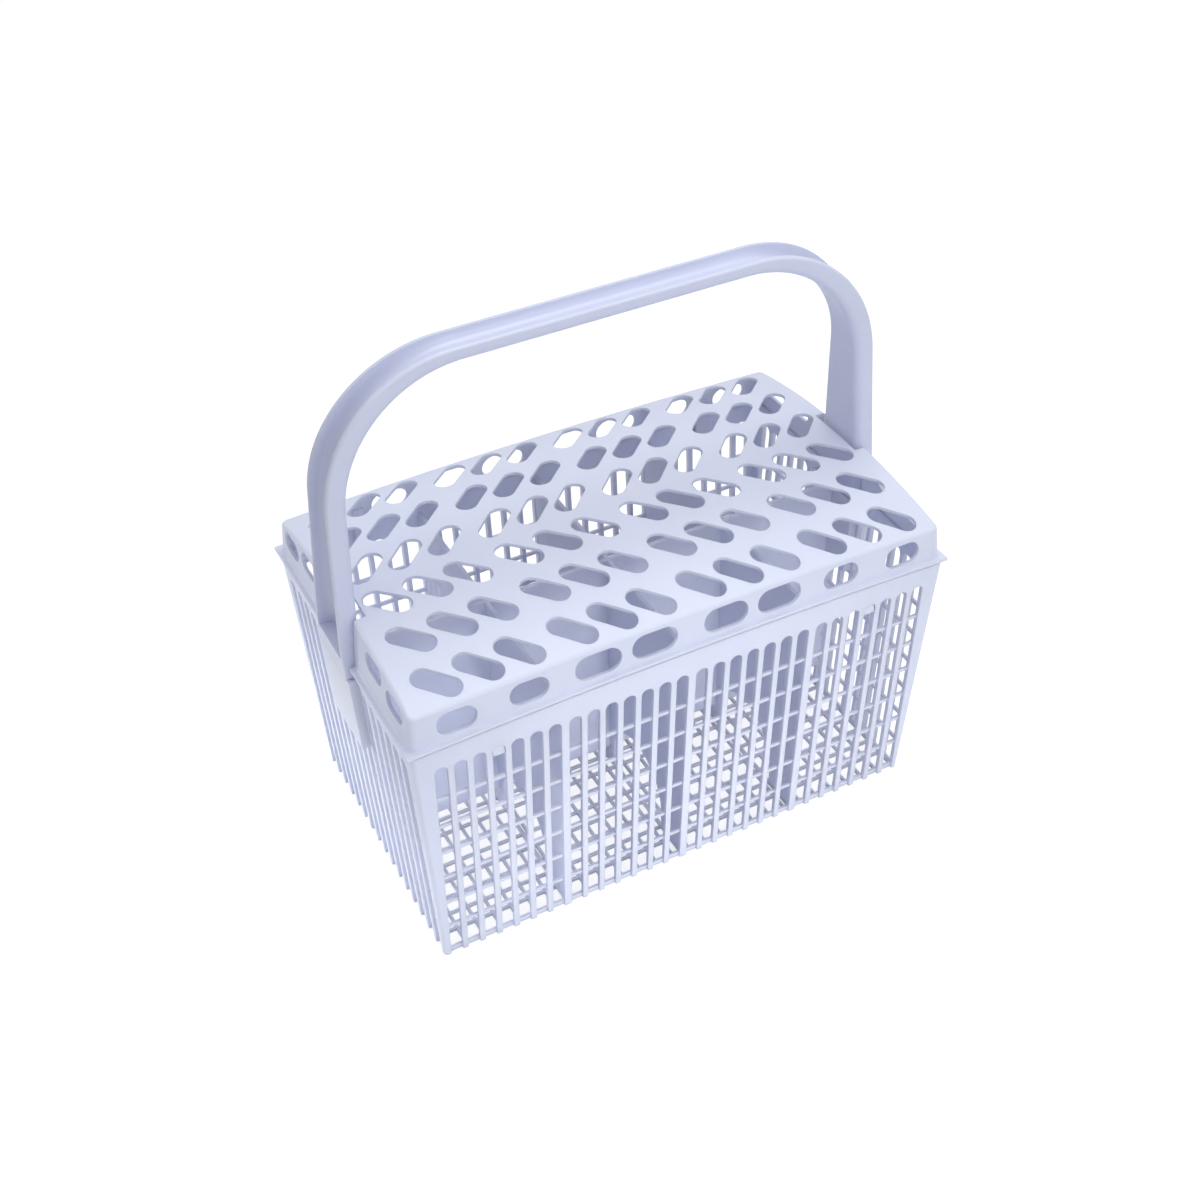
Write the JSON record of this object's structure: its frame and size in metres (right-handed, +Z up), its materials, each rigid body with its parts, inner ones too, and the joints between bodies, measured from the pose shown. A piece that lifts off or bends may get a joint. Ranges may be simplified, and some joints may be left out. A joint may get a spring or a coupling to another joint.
{
  "type": "dishwasher cutlery basket",
  "caption": "Open lattice tub with inner partitions, a crowned slotted lid that snaps on and an arched carrying handle; holds cutlery upright in a dishwasher.",
  "frame": {"origin": "centre of the underside, on the surface that the basket stands on", "axes": "+X along the basket, towards one handle socket; +Y across it, towards the back; +Z up"},
  "size_m": [0.2468, 0.1442, 0.2462],
  "materials": {
    "basket_plastic": "satin",
    "lid_plastic": "satin",
    "handle_plastic": "satin"
  },
  "bodies": {
    "root": {"basket_body": "basket_plastic", "slotted_lid": "lid_plastic", "carry_handle": "handle_plastic"}
  },
  "joints": []
}
